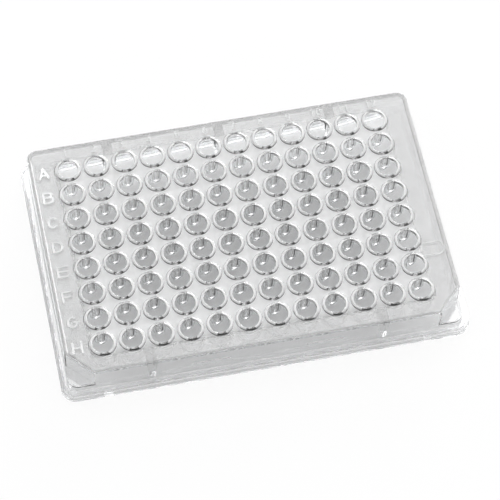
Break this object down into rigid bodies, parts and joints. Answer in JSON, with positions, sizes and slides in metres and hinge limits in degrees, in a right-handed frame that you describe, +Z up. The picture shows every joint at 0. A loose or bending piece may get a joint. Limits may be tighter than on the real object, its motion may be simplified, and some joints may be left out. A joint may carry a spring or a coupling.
{
  "type": "well plate",
  "caption": "Clear moulded plate with a grid of round-bottomed wells, a hollow skirt with a wider flange at its foot, and cut front corners.",
  "frame": {"origin": "middle of the footprint, on the plane that the plate rests on", "axes": "+X along the rows towards the last column, +Y along the columns towards row A, +Z up out of the wells"},
  "size_m": [0.1278, 0.0854, 0.0136],
  "materials": {
    "clear_polystyrene": "clear, polished in the wells and slightly frosted on the deck between them"
  },
  "bodies": {
    "root": {"well_plate": "clear_polystyrene"}
  },
  "joints": []
}
